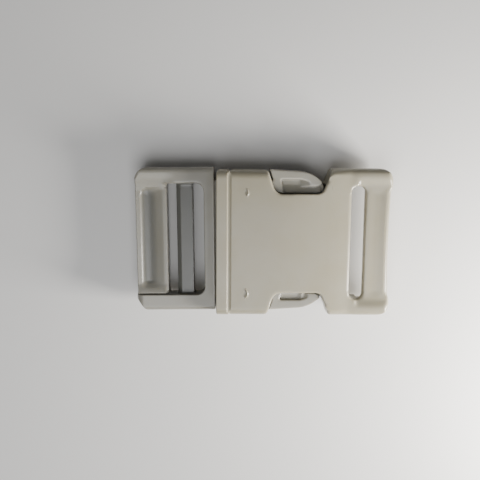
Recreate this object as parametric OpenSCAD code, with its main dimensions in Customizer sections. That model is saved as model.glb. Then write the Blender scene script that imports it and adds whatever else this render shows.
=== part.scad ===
// Side release buckle for 25 mm webbing, fastened.
// X runs along the buckle: the web-adjusting plug at -X, the socket at +X.
// Y runs across it, Z is up. The origin is under the middle of the whole buckle, on the surface
// that its flat belly rests on. All sizes are in millimetres.

/* [Webbing] */
// Width of the webbing that the buckle carries
web_w = 25; // [20:1:40]
// Thickness of the webbing, which sets how far the plug's bars lie below its rails
web_t = 1.2; // [1.1:0.1:1.6]

/* [Plug frame] */
// Length of the frame from the shoulder to its outer end
frame_l = 19.1; // [18.5:0.1:24]
// Spare width of the frame's window beside the webbing, both sides together
frame_slack = 1.9; // [1:0.1:3]
// Width of each side rail
rail_w = 3.9; // [3:0.05:5]
// Height of the side rails
rail_t = 5.6; // [5:0.1:6.2]
// How far the long sides of the frame bow inwards
rail_waist = 0.1; // [0.1:0.05:0.4]
// Radius of the frame's outer corners
frame_corner_r = 3.4; // [2:0.1:3.5]
// Width of the shoulder bar that meets the mouth
shoulder_w = 2.48; // [2:0.01:3.2]
// Clear width of the slot beside the shoulder bar
inner_slot_w = 2.67; // [2:0.01:3]
// Width of the middle bar
middle_bar_w = 4.05; // [3.5:0.05:4.5]
// Clear width of the slot beside the outer bar
outer_slot_w = 2.2; // [1.6:0.01:2.2]
// Radius of the window's corners at the shoulder bar
window_corner_r = 1.9; // [1:0.1:2.4]
// Width of the thumb recess in the outer bar
thumb_w = 4.2; // [3.4:0.05:4.3]
// Depth of the thumb recess at its middle
thumb_depth = 0.8; // [0.6:0.05:1.2]
// How far the rails' ends stand out past the outer bar
frame_ear = 0.2; // [0.1:0.05:0.4]

/* [Plug arms] */
// Width of each spring arm
arm_w = 2.3; // [1.8:0.1:2.8]
// Height of the arms, which is also the floor of the pockets in the pads
arm_t = 5; // [4.6:0.1:5]
// Height of the pads at the arms' ends
pad_t = 7; // [6.6:0.1:7]
// Width of the centre guide tongue
tongue_w = 5.2; // [4:0.1:7]
// Height of the tongue
tongue_t = 3; // [2:0.1:4]
// Width of a pad's rim between its outer edge and its pocket
pad_rim = 2.4; // [2:0.1:2.6]

/* [Socket] */
// Length of the shell from the mouth to the webbing slot
shell_l = 31.9; // [31.5:0.1:36]
// Thickness of the buckle at the collar
shell_t = 11; // [10.8:0.1:13]
// How much higher the collar stands than the shell behind it
collar_rise = 0.35; // [0.2:0.05:0.6]
// Length of the collar along the buckle
collar_l = 2.7; // [2.5:0.1:4]
// Width of the groove behind the collar
groove_w = 0.7; // [0.4:0.1:1]
// Depth of that groove below the shell
groove_depth = 0.25; // [0.15:0.05:0.4]
// Radius of the shell's long edges
edge_r = 2.0; // [1.2:0.1:2.3]
// Thickness of the side walls of the hollow
side_wall = 2.2; // [1.8:0.1:2.6]
// Clear height of the hollow
hollow_h = 7.5; // [7.5:0.1:7.7]
// Where each side notch starts, from the mouth
notch_x = 12.1; // [11:0.1:13]
// Length of each side notch, from its start to the horn's inner corner
notch_l = 13.2; // [13:0.1:14.5]
// Depth of each side notch
notch_depth = 5.55; // [5:0.05:5.8]
// Radius of the notch's inner corner
notch_r = 2.3; // [2:0.1:2.8]

/* [Socket end] */
// Spare length of the webbing slot beside the webbing
slot_slack = 2.4; // [1.5:0.1:3]
// Clear width of the webbing slot
slot_w = 3.5; // [2.6:0.1:3.6]
// Width of the end bar
end_bar_w = 6.05; // [5:0.05:8]
// Width of each rail beside the slot
end_rail_w = 4.1; // [3.4:0.1:5]
// Thickness of the end
end_t = 6.3; // [6:0.1:6.6]
// How far the end stands out past the shell on each side
horn_proud = 0.45; // [0.2:0.05:0.8]
// Radius of the end's corners
end_corner_r = 3.2; // [2.5:0.1:4]
// How far the end rails stand out past the end bar
end_ear = 0.5; // [0.2:0.05:0.7]
// How far the end bar's outer edge bows inwards
end_bow = 0.2; // [0.1:0.05:0.4]
// How far the end bar lies below the rails
bar_drop = 0.8; // [0.4:0.05:1]

/* [Fit] */
// Gap between the plug's shoulder and the mouth
shoulder_gap = 0.5; // [0.5:0.05:0.8]
// Gap above and below what slides inside the hollow
slide_gap = 0.25; // [0.2:0.05:0.3]
// Gap between the plug's base and the side walls of the mouth
side_play = 0.95; // [0.95:0.05:1.2]
// Gap between each pad's latching shoulder and the wall that holds it
latch_gap = 0.33; // [0.33:0.01:0.5]
// How far the plug has slipped sideways in its play
plug_slip = 0.6; // [0:0.05:0.6]
// How far the plug has turned in its play, in degrees
plug_yaw = 0.8; // [0:0.1:0.8]
// How far the arms have bent back against that turn, in degrees
arm_flex = 0.6; // [0.5:0.1:0.7]

/* [Hidden] */
$fn = 48;
ivory = [0.86, 0.85, 0.80];
eps = 0.01;

// Half widths
window_half = (web_w + frame_slack) / 2;
frame_half = window_half + rail_w;
slot_half = (web_w + slot_slack) / 2;
end_half = slot_half + end_rail_w;
shell_half = end_half - horn_proud;
waist_half = shell_half - notch_depth;
hollow_half = shell_half - side_wall;

// Heights
mid_z = shell_t / 2;
shell_top = shell_t - collar_rise;
rail_set = 0.4;
rail_z = mid_z - rail_t / 2 - rail_set;
bar_z = rail_z + rail_t - web_t;
middle_bar_drop = 0.6;
bar_foot = 0.35;

// Stations along the socket, from the mouth
socket_l = shell_l + slot_w + end_bar_w + end_ear;
notch_end = notch_x + notch_l;
fall_start = 13;
fall_bend = shell_l - 0.7;
fall_end = shell_l + 0.5;
belly_end = 19;
rise_end = shell_l - 0.9;
end_edge_r = 1.8;

// How far the notch's front wall leans back for each millimetre towards the middle
notch_lean = 0.31;

// The hollow is lower from thin_from on, where only the flat part of the arms lies in it
hollow_l = notch_end + 2;
thin_from = notch_x + 5.5;
thin_h = arm_t + 2 * slide_gap;
thin_half = waist_half + 2;

// Stations along the plug, from the shoulder
inner_slot_x = -shoulder_w;
middle_bar_x = inner_slot_x - inner_slot_w;
outer_slot_x = middle_bar_x - middle_bar_w;
outer_bar_x = outer_slot_x - outer_slot_w;
frame_end = -frame_l;
thumb_inset = 1.9;
thumb_margin = 1.5;
thumb_half = window_half - thumb_margin;
arm_root = 1;

// The pads, from the plug's shoulder and middle line
pad_x = notch_x + shoulder_gap + latch_gap + 0.1;
pad_y = shell_half - 0.5;
pad_fall = 0.43;
tip_x = notch_end + shoulder_gap;
pocket_x = pad_x + pad_rim + 0.15;

// The whole buckle, from the plug's outer corner to the socket's end
plug_reach = (frame_l - frame_corner_r) * cos(plug_yaw)
    + (frame_half - frame_corner_r) * sin(plug_yaw) + frame_corner_r;
total_l = plug_reach + shoulder_gap + socket_l;
mouth_x = total_l / 2 - socket_l;

// Points on an arc about c, from angle a0 to a1
function arc(c, r, a0, a1, n = 6) =
    [for (i = [0:n]) let (a = a0 + (a1 - a0) * i / n) [c[0] + r * cos(a), c[1] + r * sin(a)]];

// The same points the other way round
function rev(pts) = [for (i = [len(pts) - 1:-1:0]) pts[i]];

// A half outline with the other half mirrored across the X axis
function both_sides(pts) = concat(pts, [for (p = rev(pts)) [p[0], -p[1]]]);

// A section in Y and Z drawn out along X
module stretch(from, to) {
    translate([from, 0, 0]) rotate([90, 0, 90]) linear_extrude(to - from) children();
}

// The side view of the socket's top, as depths below a level top: it runs level, bends down at
// start, bends back from bend_at on and is level again at level, lower by drop
function fall(start, bend_at, level, drop) =
    let (
        turn = 2 * atan(drop / (level - start)),
        crown = (bend_at - start) / sin(turn),
        foot = (level - bend_at) / sin(turn)
    )
    concat(
        arc([start, -crown], crown, 90, 90 - turn, 8),
        [for (i = [5:-1:0]) let (a = 270 - turn * i / 6)
            [level + foot * cos(a), foot - drop + foot * sin(a)]]
    );

// Side view of the socket: collar, groove, level shell, fall to the end, rounded end
module socket_side() {
    body_x = collar_l + groove_w;
    end_r = 1.6;
    drop = shell_top - mid_z - end_t / 2;
    rise = mid_z - end_t / 2;
    end_top = mid_z + end_t / 2;
    polygon(concat(
        [
            [0, shell_t], [collar_l, shell_t], [collar_l, shell_top - groove_depth],
            [body_x, shell_top - groove_depth], [body_x, shell_top]
        ],
        [for (p = fall(fall_start, fall_bend, fall_end, drop)) [p[0], shell_top + p[1]]],
        arc([socket_l - end_r, end_top - end_r], end_r, 90, 0, 4),
        arc([socket_l - end_r, rise + end_r], end_r, 0, -90, 4),
        [for (p = rev(fall(belly_end, (belly_end + rise_end) / 2, rise_end, rise))) [p[0], -p[1]]],
        [
            [body_x, 0], [body_x, groove_depth], [collar_l, groove_depth], [collar_l, 0], [0, 0]
        ]
    ));
}

// Rounds the long edges of the stretch from x0 to x1, between the heights low and high
module round_long_edges(x0, x1, half, low, high, r) {
    for (side = [0, 1], face = [0, 1])
        translate([0, 0, face == 0 ? high : low])
            mirror([0, side, 0]) mirror([0, 0, face])
                stretch(x0, x1)
                    difference() {
                        translate([half - r, -r]) square([r + 1, r + 1]);
                        translate([half - r, -r]) circle(r = r);
                    }
}

// The outside of the socket
module shell_blank() {
    groove_mid = collar_l + groove_w / 2;
    difference() {
        intersection() {
            translate([0, 0, -1]) linear_extrude(shell_t + 2) socket_plan();
            translate([0, end_half + 1, 0]) rotate([90, 0, 0])
                linear_extrude(2 * end_half + 2) socket_side();
        }
        round_long_edges(-1, groove_mid, shell_half, 0, shell_t, edge_r);
        round_long_edges(groove_mid, notch_x + 3, shell_half, 0, shell_top, edge_r);
        round_long_edges(notch_end, socket_l + 1, end_half,
            mid_z - end_t / 2, mid_z + end_t / 2, end_edge_r);
        difference() {
            stretch(collar_l, collar_l + groove_w)
                translate([-end_half, -1]) square([2 * end_half, shell_t + 2]);
            stretch(0, collar_l + groove_w + 1)
                translate([groove_depth - shell_half, -2])
                    square([2 * (shell_half - groove_depth), shell_t + 4]);
        }
    }
}

// Plan of the socket: mouth, leaning notch wall, horn, and an end bar that bows inwards
module socket_plan() {
    mouth_r = 0.6;
    notch_cut = 0.3;
    lean_a = atan(notch_lean);
    corner_y = waist_half + notch_r;
    corner_x = notch_x + notch_lean * (shell_half - corner_y) + notch_r / cos(lean_a);
    foot_r = 2;
    horn_x = notch_end + 1.6;
    horn_y = waist_half + 1.4;
    ear_y = end_half - end_corner_r;
    bar_end = socket_l - end_ear;
    bar_half = ear_y - 2.4;
    polygon(both_sides(concat(
        arc([mouth_r, shell_half - mouth_r], mouth_r, 180, 90, 3),
        [
            [notch_x - notch_cut, shell_half],
            [notch_x + notch_lean * notch_cut, shell_half - notch_cut]
        ],
        arc([corner_x, corner_y], notch_r, 180 + lean_a, 270),
        arc([notch_end - 1.7, waist_half + foot_r], foot_r, 270, 322, 3),
        [
            [notch_end, horn_y],
            [notch_end + 0.75, horn_y + 1.55],
            [notch_end + 1.15, horn_y + 2.65],
            [horn_x, end_half - 0.3],
            [horn_x + 0.3, end_half]
        ],
        arc([socket_l - end_corner_r, ear_y], end_corner_r, 90, 0),
        [[socket_l - end_ear * 0.3, ear_y - 1.2]],
        [for (i = [4:-1:0]) let (t = i / 4) [bar_end - end_bow * (1 - t * t), bar_half * t]]
    )));
}

// The hollow behind the mouth, high for the pads and lower at its end
module hollow() {
    translate([-1, -hollow_half, mid_z - hollow_h / 2])
        cube([thin_from + 1, 2 * hollow_half, hollow_h]);
    translate([notch_x, -thin_half, mid_z - thin_h / 2])
        cube([hollow_l - notch_x, 2 * thin_half, thin_h]);
}

// The webbing slot, round at its ends, and the rounded lip that the webbing bends over, which
// goes on where the shell's fall is steepest
module webbing_slot() {
    lip_r = 1.6;
    slot_end = slot_half - slot_w / 2;
    end_top = mid_z + end_t / 2;
    turn = 2 * atan((shell_top - end_top) / (fall_end - fall_start));
    foot = (fall_end - fall_bend) / sin(turn);
    lip_z = end_top + foot * (1 - cos(turn)) - lip_r * cos(turn);
    translate([shell_l, -slot_end, -1]) cube([slot_w, 2 * slot_end, shell_t + 2]);
    for (side = [-1, 1])
        translate([shell_l + slot_w / 2, side * slot_end, -1])
            cylinder(d = slot_w, h = shell_t + 2);
    translate([fall_bend, slot_end, lip_z])
        rotate([90, 0, 0])
            linear_extrude(2 * slot_end)
                difference() {
                    square([lip_r, lip_r + 1]);
                    translate([-lip_r * sin(turn), -eps]) circle(r = lip_r, $fn = 96);
                }
}

// What is cut away over and under the end bar, with a soft slope up to each rail
module bar_dip() {
    slope = 3;
    floor_half = slot_half - 0.6;
    from = floor_half + slope;
    dip_z = mid_z + end_t / 2;
    foot_z = mid_z - end_t / 2 + bar_drop / 2;
    half = [for (p = fall(-from, -from + slope / 2, -floor_half, bar_drop)) [p[0], dip_z + p[1]]];
    stretch(shell_l + slot_w / 2, socket_l + 1)
        polygon(concat(
            [[-from, shell_t]], half, [for (p = rev(half)) [-p[0], p[1]]], [[from, shell_t]]
        ));
    stretch(shell_l + slot_w / 2, socket_l + 1)
        polygon([
            [-floor_half, foot_z], [floor_half, foot_z],
            [floor_half + foot_z, -1], [-floor_half - foot_z, -1]
        ]);
}

// Rounds one of the end bar's edges along the slot: of radius r, from the height edge_z on
// upwards, or downwards where down is 1
module bar_edge(edge_z, r, half, down) {
    bar_x = shell_l + slot_w;
    translate([0, half, edge_z])
        mirror([0, 0, down])
            rotate([90, 0, 0])
                linear_extrude(2 * half)
                    difference() {
                        translate([bar_x - 1, 0]) square([r + 1, r + 0.5]);
                        translate([bar_x + r, 0]) circle(r = r);
                    }
}

// Rounds the end bar along the slot, its lower edge widely for the webbing's loop
module bar_rounding() {
    upper_r = 0.4;
    lower_r = 3.4;
    bar_edge(mid_z + end_t / 2 - bar_drop - upper_r, upper_r, slot_half - slot_w / 2, 0);
    bar_edge(mid_z - end_t / 2 + bar_drop / 2 + lower_r, lower_r, slot_half + 0.4, 1);
}

module socket() {
    color(ivory)
        translate([mouth_x, 0, 0])
            difference() {
                intersection() {
                    shell_blank();
                    translate([0, 0, -1]) linear_extrude(shell_t + 2) socket_plan();
                }
                hollow();
                webbing_slot();
                bar_dip();
                bar_rounding();
            }
}

// Plan of the frame: sides bowed inwards, round outer corners, ears past the outer bar
module frame_plan() {
    side_l = frame_l - frame_corner_r;
    bow_r = (side_l * side_l / 4 + rail_waist * rail_waist) / (2 * rail_waist);
    bow_a = asin(side_l / 2 / bow_r);
    corner = [frame_end + frame_corner_r, frame_half - frame_corner_r];
    polygon(both_sides(concat(
        arc([-side_l / 2, frame_half + bow_r * cos(bow_a)], bow_r, -90 + bow_a, -90 - bow_a),
        arc(corner, frame_corner_r, 90, 180),
        [[frame_end + frame_ear, corner[1] - 1]]
    )));
}

// The frame's rails and bars as one solid block, rounded along its edges
module frame_blank() {
    round_r = 1.2;
    end_r = 1.6;
    intersection() {
        translate([0, 0, rail_z]) linear_extrude(rail_t) frame_plan();
        translate([0, 0, rail_z])
            stretch(frame_end - 1, 1)
                polygon(concat(
                    arc([frame_half - round_r, rail_t - round_r], round_r, 0, 90, 4),
                    arc([round_r - frame_half, rail_t - round_r], round_r, 90, 180, 4),
                    arc([round_r - frame_half, round_r], round_r, 180, 270, 4),
                    arc([frame_half - round_r, round_r], round_r, 270, 360, 4)
                ));
        translate([0, frame_half + 1, rail_z])
            rotate([90, 0, 0])
                linear_extrude(2 * frame_half + 2)
                    polygon(concat(
                        [[0, 0], [0, rail_t]],
                        arc([frame_end + end_r, rail_t - end_r], end_r, 90, 180, 4),
                        arc([frame_end + end_r, end_r], end_r, 180, 270, 4)
                    ));
    }
}

// A slot through the frame, from x0 to x1, with round corners at x1 only
module frame_slot(x0, x1, r) {
    translate([0, 0, rail_z - 1])
        linear_extrude(rail_t + 2)
            polygon(both_sides(concat(
                arc([x1 - r, window_half - r], r, 0, 90, 5),
                [[x0, window_half]]
            )));
}

// The room above the bars, so that the webbing lies between the rails
module bar_room() {
    translate([frame_end - 1, -window_half, bar_z])
        cube([frame_l + 1 - shoulder_w - window_corner_r, 2 * window_half, rail_t]);
    translate([outer_slot_x, -window_half, bar_z - middle_bar_drop])
        cube([middle_bar_w, 2 * window_half, rail_t]);
    translate([outer_slot_x - eps, -window_half, rail_z - 1])
        cube([middle_bar_w + 2 * eps, 2 * window_half, 1 + bar_foot]);
    translate([outer_slot_x, window_half, bar_z - middle_bar_drop])
        rotate([90, 0, 0])
            linear_extrude(2 * window_half)
                polygon([[-eps, eps], [-eps, -1], [1, eps]]);
}

// The scooped recess for the thumb in the outer bar, deeper towards the frame's outer end
module thumb_recess() {
    corner = 1.6;
    edge_depth = 0.45;
    lean = 0.6;
    scoop_r = (thumb_w * thumb_w / 4 + pow(thumb_depth - edge_depth, 2))
        / (2 * (thumb_depth - edge_depth));
    mid_x = frame_end + thumb_inset + thumb_w / 2;
    intersection() {
        translate([mid_x - lean, 0, bar_z - thumb_depth + scoop_r])
            rotate([90, 0, 0]) cylinder(r = scoop_r, h = 2 * window_half, center = true);
        translate([mid_x, 0, bar_z - 2])
            linear_extrude(3)
                polygon(both_sides(concat(
                    arc([thumb_w / 2 - corner, thumb_half - corner], corner, 0, 90, 4),
                    arc([corner - thumb_w / 2, thumb_half - corner], corner, 90, 180, 4)
                )));
    }
}

module frame() {
    difference() {
        frame_blank();
        frame_slot(outer_bar_x, outer_slot_x, 0.3);
        frame_slot(middle_bar_x, inner_slot_x, window_corner_r);
        bar_room();
        thumb_recess();
    }
}

// The neck at the shoulder, the base that enters the mouth and the tongue that guides it
module base_and_tongue() {
    base_half = hollow_half - side_play;
    base_h = hollow_h - 2 * slide_gap;
    base_x = shoulder_gap + 0.3;
    base_l = 2.4;
    base_end = shoulder_gap + base_l;
    neck_inset = 0.5;
    tongue_end = notch_end - 2.5;
    tip_l = 2.5;
    translate([-eps, -base_half, rail_z + neck_inset])
        cube([base_end, 2 * base_half, rail_t - 2 * neck_inset]);
    translate([base_x, -base_half, mid_z - base_h / 2])
        cube([base_end - base_x, 2 * base_half, base_h]);
    translate([0, 0, mid_z - tongue_t / 2])
        linear_extrude(tongue_t)
            polygon(both_sides([
                [base_end - 1, tongue_w / 2],
                [tongue_end - tip_l, tongue_w / 2],
                [tongue_end, tongue_w / 4]
            ]));
}

// A point on the pad's front edge, which is parallel to the notch's front wall
function pad_front(y) = [pad_x + notch_lean * (pad_y - y), y];

// The pad's outer edge: it runs nearly straight and then bends in towards its tip
function pad_outer() =
    let (
        bend_r = 7.5,
        start = [tip_x - 5.8, pad_y - pad_fall]
    )
    concat(
        [pad_front(pad_y)],
        arc([start[0] - bend_r * cos(87), start[1] - bend_r * sin(87)], bend_r, 87, 50)
    );

// Plan of the arm at +Y with the flat part of its pad
module arm_plan() {
    root_y = hollow_half - side_play - arm_w;
    pad_inner = waist_half - 1.2;
    tip_y = waist_half + 0.6;
    polygon(concat(
        [[arm_root, root_y], [arm_root, root_y + arm_w], pad_front(pad_inner + arm_w + 0.4)],
        pad_outer(),
        [[tip_x - 0.25, tip_y + 1.25], [tip_x, tip_y + 0.7], [tip_x + 0.1, tip_y]],
        [[tip_x + 0.1, pad_inner], [tip_x - 1, pad_inner - 1], [pad_x, pad_inner - 0.6]]
    ));
}

// Plan of the raised rim round the pad's pocket, which is open towards the middle, and of the
// neck by which it goes on under the shell
module rim_plan() {
    under = 0.6;
    neck_x = 8.5;
    neck_y = hollow_half - side_play;
    rim_y = pad_y - pad_rim;
    clear_y = waist_half + 0.95;
    polygon(concat(
        [[neck_x, waist_half - under], [neck_x, neck_y], pad_front(neck_y)],
        pad_outer(),
        [[tip_x - 0.6, clear_y + 1.35], [tip_x - 0.4, clear_y + 0.9], [tip_x - 0.8, clear_y + 0.4]],
        [
            [tip_x - 1.8, clear_y],
            [tip_x - 2.6, rim_y - 1.1],
            [tip_x - 4, rim_y - 0.4],
            [tip_x - 5.4, rim_y],
            [pocket_x, rim_y],
            [pocket_x + notch_lean * (rim_y - waist_half + under), waist_half - under]
        ]
    ));
}

// The ramp by which the pocket's floor rises to the rim at the pad's tip
module pocket_ramp() {
    rise_x = tip_x - 5.8;
    rise_l = 2.6;
    rise = (pad_t - arm_t) / 2 - 0.05;
    clear_y = waist_half + 0.95;
    rim_y = pad_y - pad_rim;
    intersection() {
        translate([0, 0, -1])
            linear_extrude(shell_t)
                polygon([
                    [rise_x, clear_y], [tip_x - 1.8, clear_y], [tip_x - 2, clear_y + 0.6],
                    [tip_x - 4, rim_y], [rise_x, rim_y + 0.3]
                ]);
        translate([0, pad_y, mid_z])
            rotate([90, 0, 0])
                linear_extrude(pad_y)
                    polygon([
                        [rise_x, arm_t / 2 - eps], [rise_x + rise_l, arm_t / 2 + rise],
                        [tip_x, arm_t / 2 + rise], [tip_x, -arm_t / 2 - rise],
                        [rise_x + rise_l, -arm_t / 2 - rise], [rise_x, eps - arm_t / 2]
                    ]);
    }
}

module arm() {
    translate([0, 0, mid_z - arm_t / 2]) linear_extrude(arm_t) arm_plan();
    translate([0, 0, mid_z - pad_t / 2]) linear_extrude(pad_t) rim_plan();
    pocket_ramp();
}

module plug() {
    color(ivory)
        translate([mouth_x - shoulder_gap, plug_slip, 0])
            rotate([0, 0, plug_yaw])
                union() {
                    frame();
                    base_and_tongue();
                    translate([arm_root, 0, 0])
                        rotate([0, 0, -arm_flex])
                            translate([-arm_root, 0, 0]) {
                                arm();
                                mirror([0, 1, 0]) arm();
                            }
                }
}

plug();
socket();
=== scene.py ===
"""Side release buckle of natural moulded plastic, fastened, on a plain pale floor."""

import math

import bmesh
import bpy
import numpy as np
from bpy.props import FloatProperty, FloatVectorProperty, IntProperty, PointerProperty
from mathutils import Matrix, Vector


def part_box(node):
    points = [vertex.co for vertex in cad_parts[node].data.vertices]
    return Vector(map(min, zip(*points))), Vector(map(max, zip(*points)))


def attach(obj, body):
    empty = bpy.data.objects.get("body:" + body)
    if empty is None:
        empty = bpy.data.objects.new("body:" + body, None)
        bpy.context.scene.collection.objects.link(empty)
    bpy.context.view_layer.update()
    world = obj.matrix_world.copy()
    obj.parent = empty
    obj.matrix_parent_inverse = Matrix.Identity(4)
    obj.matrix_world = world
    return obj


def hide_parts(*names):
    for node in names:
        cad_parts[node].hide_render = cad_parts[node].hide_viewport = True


bl_info = {
    "name": "Side Release Buckle",
    "version": (1, 0, 0),
    "blender": (4, 5, 0),
    "location": "3D View > Sidebar > Buckle",
    "description": "Dresses the two mouldings of a fastened side release buckle and lights them",
    "category": "Add Mesh",
}

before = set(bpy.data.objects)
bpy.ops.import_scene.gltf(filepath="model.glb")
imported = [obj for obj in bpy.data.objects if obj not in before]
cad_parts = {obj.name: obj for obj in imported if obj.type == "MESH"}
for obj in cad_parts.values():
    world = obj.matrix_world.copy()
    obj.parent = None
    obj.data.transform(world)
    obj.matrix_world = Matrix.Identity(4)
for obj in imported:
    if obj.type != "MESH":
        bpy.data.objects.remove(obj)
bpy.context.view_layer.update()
MM = 0.001

# Where the mouth of the socket and the shoulder of the plug stand, in millimetres
MOUTH_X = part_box("socket")[0].x / MM
SHOULDER_GAP = 0.5
PLUG_SLIP = 0.6
PLUG_YAW = math.radians(0.8)
MID_Z = 5.5

# Heights in millimetres: the shell's top, the end's top and underside, the plug's bars and rails
SHELL_TOP = 10.65
END_TOP = 8.65
END_LOW = 2.35
BAR_TOP = 6.7
RAIL_TOP = 7.9

# Stations along the socket from its mouth, where the shell's top falls to the end's and where its
# belly rises to the end's underside
FALL_START, FALL_BEND, FALL_END = 13.0, 31.2, 32.4
RISE_START, RISE_END = 19.0, 31.0
BAR_END = 41.45

# Radius of the rounding on the end's long edges, and on the plug's outer end
END_EDGE_R = 1.8
PLUG_END_R = 1.6

# How many triangles each moulding is brought down to
TRIANGLES = 190000


# Shader sums


class Value:
    """One socket of a finish, so that sums of shader values read as plain sums."""

    def __init__(self, finish, socket):
        self.finish = finish
        self.socket = socket

    def sum(self, operation, first, second):
        return self.finish.node("ShaderNodeMath", {"operation": operation}, {0: first, 1: second})

    def __add__(self, other):
        return self.sum("ADD", self, other)

    def __radd__(self, other):
        return self.sum("ADD", other, self)

    def __sub__(self, other):
        return self.sum("SUBTRACT", self, other)

    def __rsub__(self, other):
        return self.sum("SUBTRACT", other, self)

    def __mul__(self, other):
        return self.sum("MULTIPLY", self, other)

    def __rmul__(self, other):
        return self.sum("MULTIPLY", other, self)


class Finish:
    """A material that is built up from nodes."""

    def __init__(self, name):
        self.material = bpy.data.materials.new(name)
        self.material.use_nodes = True
        self.tree = self.material.node_tree
        self.tree.nodes.clear()
        self.shader = self.tree.nodes.new("ShaderNodeBsdfPrincipled")
        output = self.tree.nodes.new("ShaderNodeOutputMaterial")
        self.tree.links.new(self.shader.outputs["BSDF"], output.inputs["Surface"])

    def node(self, kind, settings=None, inputs=None, output=0):
        """Adds a node, sets it up, fills its sockets and gives one of its outputs."""
        node = self.tree.nodes.new(kind)
        for key, setting in (settings or {}).items():
            setattr(node, key, setting)
        for key, value in (inputs or {}).items():
            self.fill(node.inputs[key], value)
        return Value(self, node.outputs[output])

    def fill(self, socket, value):
        """Links a value to a socket, or sets the socket's own number or colour."""
        if isinstance(value, Value):
            self.tree.links.new(value.socket, socket)
        else:
            socket.default_value = value

    def set(self, **values):
        """Fills sockets of the shader, with underscores for the spaces in their names."""
        for key, value in values.items():
            self.fill(self.shader.inputs[key.replace("_", " ")], value)

    def where(self):
        """The place on the object, in metres."""
        return self.node("ShaderNodeTexCoord", output="Object")

    def noise(self, size_mm, detail=2.0, roughness=0.5):
        """Noise whose blots are about size_mm across, from 0 to 1."""
        return self.node(
            "ShaderNodeTexNoise",
            {"noise_dimensions": "3D"},
            {
                "Vector": self.where(),
                "Scale": 1.0 / (size_mm * MM),
                "Detail": detail,
                "Roughness": roughness,
            },
        )

    def attribute(self, name):
        """A value that the piece's own mesh carries."""
        return self.node("ShaderNodeAttribute", {"attribute_name": name}, output="Fac")

    def band(self, value, low, high):
        """The value taken to 0 at low and 1 at high, held there beyond them."""
        return self.node(
            "ShaderNodeMapRange",
            {"clamp": True, "interpolation_type": "SMOOTHSTEP"},
            {"Value": value, "From Min": low, "From Max": high},
        )

    def blend(self, factor, first, second):
        """First where the factor is 0, second where it is 1, as colours."""
        return self.node(
            "ShaderNodeMix",
            {"data_type": "RGBA"},
            {"Factor": factor, 6: first, 7: second},
            output=2,
        )


# Meshes


def evaluated_mesh(obj):
    """The mesh of an object with its modifiers applied."""
    graph = bpy.context.evaluated_depsgraph_get()
    graph.update()
    return bpy.data.meshes.new_from_object(obj.evaluated_get(graph), depsgraph=graph)


def apply_modifiers(obj):
    """Puts the modified mesh in the object's place and clears its modifiers."""
    old = obj.data
    mesh = evaluated_mesh(obj)
    obj.modifiers.clear()
    obj.data = mesh
    bpy.data.meshes.remove(old)


def get_points(mesh):
    """The places of a mesh's vertices, in millimetres."""
    points = np.empty(len(mesh.vertices) * 3)
    mesh.vertices.foreach_get("co", points)
    return points.reshape(-1, 3) / MM


def set_points(mesh, points):
    """Moves a mesh's vertices to places in millimetres."""
    mesh.vertices.foreach_set("co", (points * MM).ravel())
    mesh.update()


def get_normals(mesh):
    """The directions that a mesh's vertices face."""
    normals = np.empty(len(mesh.vertices) * 3)
    mesh.vertex_normals.foreach_get("vector", normals)
    return normals.reshape(-1, 3)


def smooth_step(value, low, high):
    """0 at low, 1 at high, with an even slope between them."""
    t = np.clip((value - low) / (high - low), 0.0, 1.0)
    return t * t * (3.0 - 2.0 * t)


def smooth_drop(value, low, high):
    """1 at low, 0 at high, with an even slope between them."""
    return 1.0 - smooth_step(value, low, high)


def between(value, low, high, fade):
    """1 from low to high, falling to 0 over fade on both sides."""
    return smooth_step(value, low - fade, low) * smooth_drop(value, high, high + fade)


def copy_of_solid(node, name):
    """A piece that starts as one closed mesh of a CAD solid."""
    bm = bmesh.new()
    bm.from_mesh(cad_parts[node].data)
    bmesh.ops.remove_doubles(bm, verts=bm.verts, dist=1e-6)
    mesh = bpy.data.meshes.new(name)
    bm.to_mesh(mesh)
    bm.free()
    piece = bpy.data.objects.new(name, mesh)
    bpy.context.scene.collection.objects.link(piece)
    return piece


def add_modifier(piece, kind, **settings):
    """Adds a modifier with its settings."""
    modifier = piece.modifiers.new(kind.title(), kind)
    for key, setting in settings.items():
        setattr(modifier, key, setting)
    return modifier


def skin(piece, voxel_mm):
    """Covers the piece with an even net of small faces."""
    add_modifier(
        piece, "REMESH", mode="VOXEL", voxel_size=voxel_mm * MM, use_smooth_shade=True
    )
    apply_modifiers(piece)


def add_group(piece, name, weights):
    """A vertex group with the given weights, in eighths."""
    group = piece.vertex_groups.new(name=name)
    levels = np.round(np.clip(weights, 0.0, 1.0) * 8).astype(int)
    for level in range(1, 9):
        chosen = np.nonzero(levels == level)[0]
        if len(chosen):
            group.add(chosen.tolist(), level / 8, "REPLACE")


def round_edges(piece, sizes, softness):
    """Rounds every edge a little, and soft and very soft edges more."""
    points = get_points(piece.data)
    soft, very_soft = softness(points)
    add_group(piece, "soft", soft)
    add_group(piece, "very soft", very_soft)
    add_modifier(piece, "SMOOTH", factor=0.5, iterations=sizes.edge_passes)
    for name, passes in (("soft", sizes.soft_passes), ("very soft", sizes.very_soft_passes)):
        add_modifier(piece, "SMOOTH", factor=0.5, iterations=passes, vertex_group=name)
    apply_modifiers(piece)
    piece.vertex_groups.clear()


def neighbour_means(mesh, values, passes):
    """Values of a mesh's vertices after that many rounds of averaging with their neighbours."""
    edges = np.empty(len(mesh.edges) * 2, dtype=np.int64)
    mesh.edges.foreach_get("vertices", edges)
    edges = edges.reshape(-1, 2)
    first, second = edges[:, 0], edges[:, 1]
    count = len(mesh.vertices)
    degree = np.bincount(first, minlength=count) + np.bincount(second, minlength=count)
    for _ in range(passes):
        mean = np.empty_like(values)
        for axis in range(values.shape[1]):
            column = values[:, axis]
            total = np.bincount(first, column[second], minlength=count)
            total += np.bincount(second, column[first], minlength=count)
            mean[:, axis] = total / degree
        values = 0.5 * values + 0.5 * mean
    return values


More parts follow.
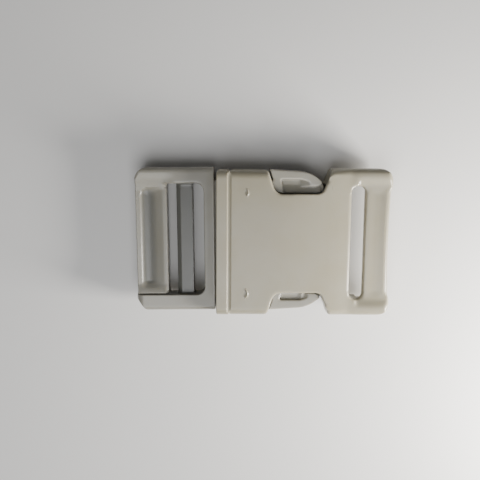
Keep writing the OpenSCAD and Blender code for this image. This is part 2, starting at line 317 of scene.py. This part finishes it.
def note_edges(mesh, passes=24):
    """Keeps how far each vertex stands out as an edge or lies in a corner."""
    points = get_points(mesh)
    means = neighbour_means(mesh, points, passes)
    stands_out = np.einsum("ij,ij->i", points - means, get_normals(mesh))
    layer = mesh.attributes.new("stands_out", "FLOAT", "POINT")
    layer.data.foreach_set("value", stands_out.astype(np.float32))


def note_painted_recess_shade(mesh, painted_recess_shade):
    """Keeps how much grey painted shade darkens the plastic at each vertex, from 0 to 1."""
    layer = mesh.attributes.new("painted_recess_shade", "FLOAT", "POINT")
    layer.data.foreach_set("value", painted_recess_shade(get_points(mesh)).astype(np.float32))


def thin_out(piece, triangles):
    """Takes out faces where the piece is flat, down to that many triangles."""
    faces = 2 * len(piece.data.polygons)
    add_modifier(piece, "DECIMATE", ratio=min(1.0, triangles / faces))
    apply_modifiers(piece)
    for polygon in piece.data.polygons:
        polygon.use_smooth = True


# The two mouldings


def plug_frame(points):
    """Places in the plug's own frame: from its shoulder, straight along it."""
    x = points[:, 0] - (MOUTH_X - SHOULDER_GAP)
    y = points[:, 1] - PLUG_SLIP
    c, s = math.cos(PLUG_YAW), math.sin(PLUG_YAW)
    return np.column_stack([c * x + s * y, c * y - s * x, points[:, 2]])


def socket_frame(points):
    """Places in the socket's own frame, from its mouth."""
    return points - np.array([MOUTH_X, 0.0, 0.0])


def plug_softness(points):
    """Where the plug's edges are soft, and where they are very soft."""
    p = plug_frame(points)
    along, across, height = -p[:, 0], p[:, 1], p[:, 2]
    pads = smooth_step(p[:, 0], 12.4, 12.8) * smooth_step(height, 3.0, 5.0)
    recess = between(along, 12.6, 14.0, 0.4)
    recess *= smooth_step(height, 4.6, 5.0) * smooth_drop(height, 7.0, 7.4)
    inner_side = smooth_drop(np.abs(np.abs(across) - 13.4), 0.8, 1.2)
    rails = smooth_step(along, 2.8, 3.4) * inner_side * smooth_step(across, 0.0, 2.0)
    return np.maximum(0.6 * pads, 0.8 * recess), rails * smooth_step(height, 5.4, 5.9)


def socket_softness(points):
    """Where the socket's edges are soft, and where they are very soft."""
    p = socket_frame(points)
    along, across, height = p[:, 0], np.abs(p[:, 1]), p[:, 2]
    sides = smooth_step(along, 4.4, 5.4) * smooth_step(across, 4.0, 6.0)
    upper = smooth_step(height, MID_Z, MID_Z + 1.0)
    notch = upper * smooth_step(along, 11.0, 12.0) * smooth_drop(along, 17.0, 19.0)
    horn = upper * smooth_step(along, 23.5, 24.5) * smooth_drop(along, 33.0, 34.0)
    lip = upper * smooth_step(along, FALL_BEND - 0.8, FALL_BEND) * smooth_drop(along, 34.0, 35.0)
    slopes = upper * smooth_step(along, FALL_END, FALL_END + 0.8)
    slopes *= smooth_step(across, 11.5, 12.2) * smooth_drop(across, 16.2, 16.8)
    edges = 0.7 * notch * smooth_step(across, 10.5, 11.2)
    edges = np.maximum(edges, horn * smooth_step(across, 12.0, 12.8))
    return np.maximum(sides, 0.5 * lip), np.maximum(edges, slopes)


def plug_painted_recess_shade(points):
    """Grey painted shade on the plug: its middle bar, its thumb recess and the pocket's floor at
    -Y.
    """
    p = plug_frame(points)
    along, across, height = -p[:, 0], np.abs(p[:, 1]), p[:, 2]
    middle_bar = 0.95 * between(along, 4.9, 9.4, 0.2)
    recess = 0.9 * smooth_step(BAR_TOP - height, 0.30, 0.80) * between(along, 12.8, 17.4, 1.0)
    grey = np.maximum(middle_bar, recess) * smooth_drop(height, 6.9, 7.2)
    grey *= smooth_drop(across, 13.2, 13.5)
    pocket = between(p[:, 0], 15.4, 22.5, 0.4) * smooth_drop(height, 8.1, 8.6)
    pocket *= smooth_step(across, 9.5, 10.0) * (p[:, 1] < 0.0)
    return np.clip(grey + 0.15 * pocket, 0.0, 1.0)


def socket_painted_recess_shade(points):
    """The socket has no grey painted shade."""
    return np.zeros(len(points))


def cut_outer_corner(points, p):
    """Cuts the frame's outer corner at -Y off slanting, along a line through a place."""
    place = np.array([-18.9, -14.5])
    slant = np.array([-0.803, -0.596])
    c, s = math.cos(PLUG_YAW), math.sin(PLUG_YAW)
    turned = np.array([c * slant[0] - s * slant[1], s * slant[0] + c * slant[1]])
    beyond = np.clip((p[:, :2] - place) @ slant, 0.0, None)
    points[:, :2] -= 0.9 * beyond[:, None] * turned


def thumb_form(along, across):
    """Height of the outer bar's top: its scooped recess, and its rise to the rails."""
    corner_r = 2.0
    end_x, far_y, near_y = 17.85, 12.65, -12.6
    start_x, run, run_power = 12.2, 4.7, 0.75
    depth, wall, rim_fall = 0.80, 0.75, 0.12
    end = along - end_x + corner_r
    side = np.maximum(across - far_y, near_y - across) + corner_r
    outside = np.hypot(np.clip(end, 0.0, None), np.clip(side, 0.0, None))
    inside = corner_r - outside - np.minimum(np.maximum(end, side), 0.0)
    run_in = np.clip((along - start_x) / run, 0.0, 1.0) ** run_power
    scoop = smooth_step(run_in, 0.0, 1.0) * smooth_step(across, near_y + 0.2, near_y + 2.4)
    recess = depth * (1.0 - np.exp(-np.clip(inside, 0.0, None) / wall))
    recess += rim_fall * smooth_drop(along, 17.7, 19.0) * smooth_drop(across, 11.5, 13.0)
    top = BAR_TOP - recess * scoop + (RAIL_TOP - BAR_TOP) * smooth_step(across, 11.8, 16.2)
    top += 0.7 * smooth_drop(across, -13.5, -10.8)
    round_end = np.sqrt(PLUG_END_R ** 2 - np.clip(along - 17.5, 0.0, PLUG_END_R - 0.05) ** 2)
    return np.minimum(top, RAIL_TOP - PLUG_END_R + round_end)


def shape_outer_bar(mesh, points, normals, p):
    """Gives the outer bar's top its form, on to the rail at +Y, and gives the places before."""
    along, across = -p[:, 0], p[:, 1]
    rail = smooth_step(across, 13.2, 13.8)
    width = smooth_step(across, -13.3, -13.15) * smooth_drop(across, 16.0, 16.3)
    begin = (1.0 - rail) * smooth_step(along, 11.7, 12.0) + rail * smooth_step(along, 8.5, 12.5)
    rim = begin * between(along, 11.5, 19.1, 0.1) * smooth_drop(np.abs(normals[:, 0]), 0.5, 0.8)
    on_bar = np.maximum(begin * smooth_drop(along, 18.6, 18.9), rim)
    on_bar *= width * smooth_step(p[:, 2], 4.9, 5.3)
    beside = smooth_step(along, 11.4, 11.5) * smooth_drop(across, 14.4, 14.8)
    on_bar *= np.maximum(beside, smooth_step(normals[:, 2], 0.3, 0.7))
    spread = neighbour_means(mesh, points[:, :2], 30)
    points[:, :2] += on_bar[:, None] * (spread - points[:, :2])
    p = plug_frame(points)
    points[:, 2] += on_bar * (thumb_form(-p[:, 0], p[:, 1]) - p[:, 2])
    return p


def shape_plug(mesh):
    """The plug's small forms."""
    shoulder_rise, pocket_slope = 0.35, 0.45
    points, normals = get_points(mesh), get_normals(mesh)
    p = plug_frame(points)
    cut_outer_corner(points, p)
    p = shape_outer_bar(mesh, points, normals, p)
    # The shoulder rises a little towards the mouth
    rise = smooth_step(p[:, 0], -2.4, 0.6) * smooth_drop(np.abs(p[:, 1]), 12.5, 17.0)
    rise *= smooth_step(p[:, 2], 6.0, 7.6) * (p[:, 0] < 0.2)
    points[:, 2] += shoulder_rise * rise
    # The floor of each pad's pocket slopes up to the shell
    across = np.abs(points[:, 1])
    slope = smooth_step(across, 11.85, 12.0) * smooth_drop(across, 12.1, 14.0)
    slope *= between(p[:, 0], 15.8, 25.0, 0.5) * between(p[:, 2], 7.6, 8.3, 0.3)
    points[:, 2] += pocket_slope * slope * smooth_step(normals[:, 2], 0.3, 0.7)
    # No step is left where the outer bar's inner edge meets the rail at +Y
    meeting = between(-p[:, 0], 11.0, 12.4, 0.4) * between(p[:, 1], 12.8, 15.0, 0.5)
    meeting *= smooth_step(p[:, 2], 5.6, 6.2)
    points += meeting[:, None] * (neighbour_means(mesh, points, 30) - points)
    return points


def crescent(dx, dy, radius, half_width, reach):
    """Height from 0 to 1 of a thin curved ridge in the plan, open towards -X."""
    off = (np.hypot(dx, dy) - radius) / half_width
    turn = np.degrees(np.arctan2(dy, dx)) / reach
    return np.clip(1.0 - off ** 2, 0.0, 1.0) * np.clip(1.3 * (1.0 - turn ** 2), 0.0, 1.0)


def raise_marks(points, normals, p):
    """Raises the two crescents on the shell, and a little of the groove behind the collar."""
    mark_x, mark_r, mark_half_width, mark_rise = 6.1, 1.35, 0.20, 0.20
    dent_x, dent_l, dent_w, dent_depth = 0.75, 0.4, 0.7, 0.05
    lift = 0.05 * between(p[:, 0], 2.8, 3.3, 0.2)
    for mark_y, reach in ((12.1, 44.0), (-11.9, 62.0)):
        dx, dy = p[:, 0] - mark_x, p[:, 1] - mark_y
        lift += mark_rise * crescent(dx, dy, mark_r, mark_half_width, reach)
        dent = ((dx - dent_x) / dent_l) ** 2 + (dy / dent_w) ** 2
        lift -= dent_depth * np.clip(1.0 - dent, 0.0, 1.0)
    top = smooth_step(normals[:, 2], 0.6, 0.9) * smooth_step(p[:, 2], 9.0, 10.0)
    points[:, 2] += top * lift


def shape_end_bar(points, normals, p):
    """Dips the end bar a little along its middle, and rounds its outer edge."""
    dip_depth, edge_r, bar_top, bow, bow_half = 0.15, 1.0, 7.8, 0.2, 11.2
    across = np.abs(p[:, 1])
    on_bar = smooth_drop(across, 11.5, 13.5)
    dip = smooth_step(p[:, 0], 35.8, 38.0) * smooth_drop(p[:, 0], 38.6, 40.6)
    points[:, 2] -= dip_depth * dip * smooth_step(normals[:, 2], 0.3, 0.7) * on_bar
    bar_end = BAR_END - bow * (1.0 - np.clip(across / bow_half, 0.0, 1.0) ** 2)
    dx, dz = p[:, 0] - (bar_end - edge_r), p[:, 2] - (bar_top - edge_r)
    off = np.hypot(dx, dz)
    beyond = (dx > 0.0) & (dz > 0.0) & (off > edge_r)
    pull = np.where(beyond, 1.0 - edge_r / np.maximum(off, 0.1), 0.0)
    points[:, 0] -= on_bar * pull * dx
    points[:, 2] -= on_bar * pull * dz


def fall(along, start, bend, level, drop):
    """Depth below a level top that bends down at start, back at bend, and is level again."""
    turn = math.sin(2.0 * math.atan(drop / (level - start)))
    crown_r, foot_r = (bend - start) / turn, (level - bend) / turn
    crown = crown_r - np.sqrt(crown_r ** 2 - np.clip(along - start, 0.0, bend - start) ** 2)
    foot = drop - foot_r + np.sqrt(foot_r ** 2 - np.clip(level - along, 0.0, level - bend) ** 2)
    return np.where(along < bend, crown, foot)


def round_horns(mesh, points, p):
    """Stretches the horns' level rounded edges up and down to the slopes of their faces."""
    along, across, height = p[:, 0], np.abs(p[:, 1]), p[:, 2]
    top = SHELL_TOP - fall(along, FALL_START, FALL_BEND, FALL_END, SHELL_TOP - END_TOP)
    low = fall(along, RISE_START, (RISE_START + RISE_END) / 2.0, RISE_END, END_LOW)
    upper, lower = END_TOP - END_EDGE_R, END_LOW + END_EDGE_R
    raised = np.minimum(upper + (height - upper) * (top - upper) / END_EDGE_R, top)
    lowered = np.maximum(lower + (height - lower) * (lower - low) / END_EDGE_R, low)
    new = np.where(height > upper, raised, np.where(height < lower, lowered, height))
    horn = smooth_step(across, 14.6, 15.4) * smooth_step(along, 24.5, 25.0)
    points[:, 2] += horn * (new - height)
    soft = smooth_step(across, 14.0, 14.8) * between(along, 25.0, FALL_END, 0.8)
    points += soft[:, None] * (neighbour_means(mesh, points, 40) - points)


def shape_socket(mesh):
    """The socket's small forms."""
    points, normals = get_points(mesh), get_normals(mesh)
    p = socket_frame(points)
    raise_marks(points, normals, p)
    shape_end_bar(points, normals, p)
    round_horns(mesh, points, p)
    return points


def moulding(node, sizes, softness, shape, painted_recess_shade):
    """A moulding with rounded edges and its small forms, made from its CAD solid."""
    piece = copy_of_solid(node, node + "_moulding")
    skin(piece, sizes.net_size)
    round_edges(piece, sizes, softness)
    set_points(piece.data, shape(piece.data))
    note_edges(piece.data)
    note_painted_recess_shade(piece.data, painted_recess_shade)
    thin_out(piece, TRIANGLES)
    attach(piece, "root")
    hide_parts(node)
    return piece


# Finishes


def tinted(colour, red, green, blue):
    """A colour times three factors, at most 1, with its alpha."""
    return (*(min(1.0, part * by) for part, by in zip(colour, (red, green, blue))), 1.0)


def moulded_plastic(name, colour, finish):
    """Natural moulded plastic: milky, satin, with a fine mould texture, painted highlights on
    convex edges, dust and painted shade in corners, and grey painted shade in recesses.
    """
    f = Finish(name)
    cloud = f.band(f.noise(9.0, 2.0), 0.35, 0.65)
    stands_out = f.attribute("stands_out")
    edge = f.band(stands_out, 0.006, 0.05)
    corner = f.band(stands_out, -0.006, -0.06)
    warm = tinted(colour, 0.97, 0.96, 0.92)
    # Colour of the painted highlight on convex edges
    light = tinted(colour, 1.12, 1.12, 1.12)
    # Colour of the dust and painted shade in concave corners
    dust_and_painted_shade = tinted(colour, 0.80, 0.78, 0.72)
    # Colour of the grey painted shade in the plug's recesses
    grey = tinted(colour, 0.48, 0.50, 0.52)
    tone = f.blend(cloud, (*colour, 1.0), warm)
    # Painted highlight: convex edges are lightened
    tone = f.blend(edge * 0.7, tone, light)
    # Dust and painted shade: concave corners are darkened
    tone = f.blend(corner * 0.4, tone, dust_and_painted_shade)
    # Grey painted shade: low, recessed parts are greyed
    tone = f.blend(f.attribute("painted_recess_shade"), tone, grey)
    grain = f.noise(0.35, 3.0, 0.6)
    rough = finish.roughness + (f.noise(2.5, 3.0) - 0.5) * 0.10 - edge * 0.09
    bump = f.node(
        "ShaderNodeBump",
        {},
        {"Height": grain, "Strength": finish.grain, "Distance": 0.04 * MM},
    )
    f.set(Base_Color=tone, Roughness=rough, Normal=bump)
    f.set(IOR=1.48, Subsurface_Weight=finish.milkiness, Subsurface_Scale=1.2 * MM)
    f.shader.inputs["Subsurface Radius"].default_value = (1.0, 0.85, 0.6)
    return f.material


def plain_finish(name, colour, roughness):
    """An even finish for the floor."""
    f = Finish(name)
    speckle = f.noise(4.0, 3.0)
    shade = tinted(colour, 0.985, 0.985, 0.985)
    f.set(Base_Color=f.blend(speckle, (*colour, 1.0), shade), Roughness=roughness)
    return f.material


# Sizes, colours and the stage's settings


class BuckleSizes(bpy.types.PropertyGroup):
    net_size: FloatProperty(
        name="Net size", description="Size of the faces that cover each moulding, in millimetres",
        default=0.11, min=0.08, max=0.3,
    )
    edge_passes: IntProperty(
        name="Edge rounding", description="Rounds of smoothing on every edge",
        default=10, min=0, max=60,
    )
    soft_passes: IntProperty(
        name="Soft edge rounding", description="Further rounds of smoothing on the soft edges",
        default=40, min=0, max=200,
    )
    very_soft_passes: IntProperty(
        name="Softest edge rounding", description="Still more rounds on the softest edges",
        default=100, min=0, max=400,
    )


class BuckleFinish(bpy.types.PropertyGroup):
    plug_colour: FloatVectorProperty(
        name="Plug colour", description="Colour of the plug's plastic", subtype="COLOR",
        default=(0.29, 0.278, 0.24), min=0.0, max=1.0,
    )
    socket_colour: FloatVectorProperty(
        name="Socket colour", description="Colour of the socket's plastic", subtype="COLOR",
        default=(0.33, 0.305, 0.235), min=0.0, max=1.0,
    )
    roughness: FloatProperty(
        name="Roughness", description="Roughness of the satin mould texture",
        default=0.31, min=0.0, max=1.0, subtype="FACTOR",
    )
    grain: FloatProperty(
        name="Grain", description="Strength of the fine mould texture",
        default=0.35, min=0.0, max=1.0, subtype="FACTOR",
    )
    milkiness: FloatProperty(
        name="Milkiness", description="How far light spreads under the surface",
        default=0.4, min=0.0, max=1.0, subtype="FACTOR",
    )


class StudioSettings(bpy.types.PropertyGroup):
    camera_tilt: FloatProperty(
        name="Camera tilt", description="Angle of the view from straight down",
        default=math.radians(7.9), subtype="ANGLE",
    )
    camera_roll: FloatProperty(
        name="Camera roll", description="Turn of the camera about its own line of sight",
        default=math.radians(0.42), subtype="ANGLE",
    )
    camera_reach: FloatProperty(
        name="Camera distance", description="Distance from the camera to what it looks at",
        default=0.146, unit="LENGTH",
    )
    key_power: FloatProperty(
        name="Key light", description="Power of the soft light at the right, in watts",
        default=0.60, min=0.0,
    )
    fill_power: FloatProperty(
        name="Fill light", description="Power of the soft light overhead, in watts",
        default=0.53, min=0.0,
    )
    surroundings: FloatProperty(
        name="Surroundings", description="Brightness of the plain surroundings",
        default=0.10, min=0.0,
    )
    floor_colour: FloatVectorProperty(
        name="Floor colour", description="Colour of the plain floor", subtype="COLOR",
        default=(0.78, 0.77, 0.75), min=0.0, max=1.0,
    )


# Operators


class BUCKLE_OT_plug(bpy.types.Operator):
    """Make the plug with its web-adjusting frame"""

    bl_idname = "buckle.plug"
    bl_label = "Plug"

    def execute(self, context):
        scene = context.scene
        sizes = scene.buckle_sizes
        piece = moulding("plug", sizes, plug_softness, shape_plug, plug_painted_recess_shade)
        finish = scene.buckle_finish
        piece.data.materials.clear()
        piece.data.materials.append(
            moulded_plastic("natural plastic of the plug", finish.plug_colour, finish)
        )
        return {"FINISHED"}


class BUCKLE_OT_socket(bpy.types.Operator):
    """Make the hollow socket with its end bar"""

    bl_idname = "buckle.socket"
    bl_label = "Socket"

    def execute(self, context):
        scene = context.scene
        sizes = scene.buckle_sizes
        piece = moulding("socket", sizes, socket_softness, shape_socket, socket_painted_recess_shade)
        finish = scene.buckle_finish
        piece.data.materials.clear()
        piece.data.materials.append(
            moulded_plastic("natural plastic of the socket", finish.socket_colour, finish)
        )
        return {"FINISHED"}


def look_at(obj, place, target):
    """Puts a lamp or camera at a place, facing a target."""
    obj.location = place
    obj.rotation_euler = (Vector(target) - Vector(place)).to_track_quat("-Z", "Y").to_euler()


def add_soft_light(name, place, size, power, colour):
    """A square soft light that faces the buckle."""
    lamp = bpy.data.lights.new(name, "AREA")
    lamp.shape = "SQUARE"
    lamp.size = size
    lamp.energy = power
    lamp.color = colour
    obj = bpy.data.objects.new(name, lamp)
    bpy.context.scene.collection.objects.link(obj)
    look_at(obj, place, (0.0, 0.0, 0.005))
    return obj


class BUCKLE_OT_stage(bpy.types.Operator):
    """Make the floor, the lights and the camera"""

    bl_idname = "buckle.stage"
    bl_label = "Stage"

    def execute(self, context):
        settings = context.scene.buckle_studio
        self.add_floor(settings)
        add_soft_light(
            "key light", (0.120, -0.050, 0.045), 0.05, settings.key_power, (1.0, 0.975, 0.93)
        )
        add_soft_light(
            "fill light", (-0.02, -0.11, 0.24), 0.20, settings.fill_power, (0.97, 0.98, 1.0)
        )
        world = bpy.data.worlds.new("plain surroundings")
        world.use_nodes = True
        level = settings.surroundings
        world.node_tree.nodes["Background"].inputs["Color"].default_value = (level, level, level, 1)
        context.scene.world = world
        self.add_camera(context.scene, settings)
        return {"FINISHED"}

    def add_floor(self, settings):
        bm = bmesh.new()
        bmesh.ops.create_grid(bm, x_segments=1, y_segments=1, size=1.5)
        mesh = bpy.data.meshes.new("floor")
        bm.to_mesh(mesh)
        bm.free()
        floor = bpy.data.objects.new("floor", mesh)
        bpy.context.scene.collection.objects.link(floor)
        mesh.materials.append(plain_finish("pale floor", settings.floor_colour, 0.8))

    def add_camera(self, scene, settings):
        lens = bpy.data.cameras.new("camera")
        lens.lens = 45.0
        lens.sensor_width = 36.0
        lens.clip_start = 0.01
        lens.clip_end = 10.0
        camera = bpy.data.objects.new("camera", lens)
        scene.collection.objects.link(camera)
        target = Vector((MOUTH_X + 5.6, 0.25, MID_Z)) * MM
        tilt, reach = settings.camera_tilt, settings.camera_reach
        camera.location = target + reach * Vector((0.0, math.sin(tilt), math.cos(tilt)))
        turn = Matrix.Rotation(-tilt, 3, "X") @ Matrix.Rotation(settings.camera_roll, 3, "Z")
        camera.rotation_euler = turn.to_euler()
        scene.camera = camera


class BUCKLE_PT_panel(bpy.types.Panel):
    """Lists the buckle's operators and settings"""

    bl_label = "Side Release Buckle"
    bl_idname = "BUCKLE_PT_panel"
    bl_space_type = "VIEW_3D"
    bl_region_type = "UI"
    bl_category = "Buckle"

    def draw(self, context):
        layout = self.layout
        for operator in (BUCKLE_OT_plug, BUCKLE_OT_socket, BUCKLE_OT_stage):
            layout.operator(operator.bl_idname)
        for group in ("buckle_sizes", "buckle_finish", "buckle_studio"):
            settings = getattr(context.scene, group)
            box = layout.box()
            for key in type(settings).__annotations__:
                box.prop(settings, key)


CLASSES = (
    BuckleSizes,
    BuckleFinish,
    StudioSettings,
    BUCKLE_OT_plug,
    BUCKLE_OT_socket,
    BUCKLE_OT_stage,
    BUCKLE_PT_panel,
)


def register():
    for cls in CLASSES:
        bpy.utils.register_class(cls)
    bpy.types.Scene.buckle_sizes = PointerProperty(type=BuckleSizes)
    bpy.types.Scene.buckle_finish = PointerProperty(type=BuckleFinish)
    bpy.types.Scene.buckle_studio = PointerProperty(type=StudioSettings)


def unregister():
    del bpy.types.Scene.buckle_studio
    del bpy.types.Scene.buckle_finish
    del bpy.types.Scene.buckle_sizes
    for cls in reversed(CLASSES):
        bpy.utils.unregister_class(cls)


def main():
    register()
    bpy.ops.buckle.stage()
    bpy.ops.buckle.plug()
    bpy.ops.buckle.socket()


if __name__ == "__main__":
    main()
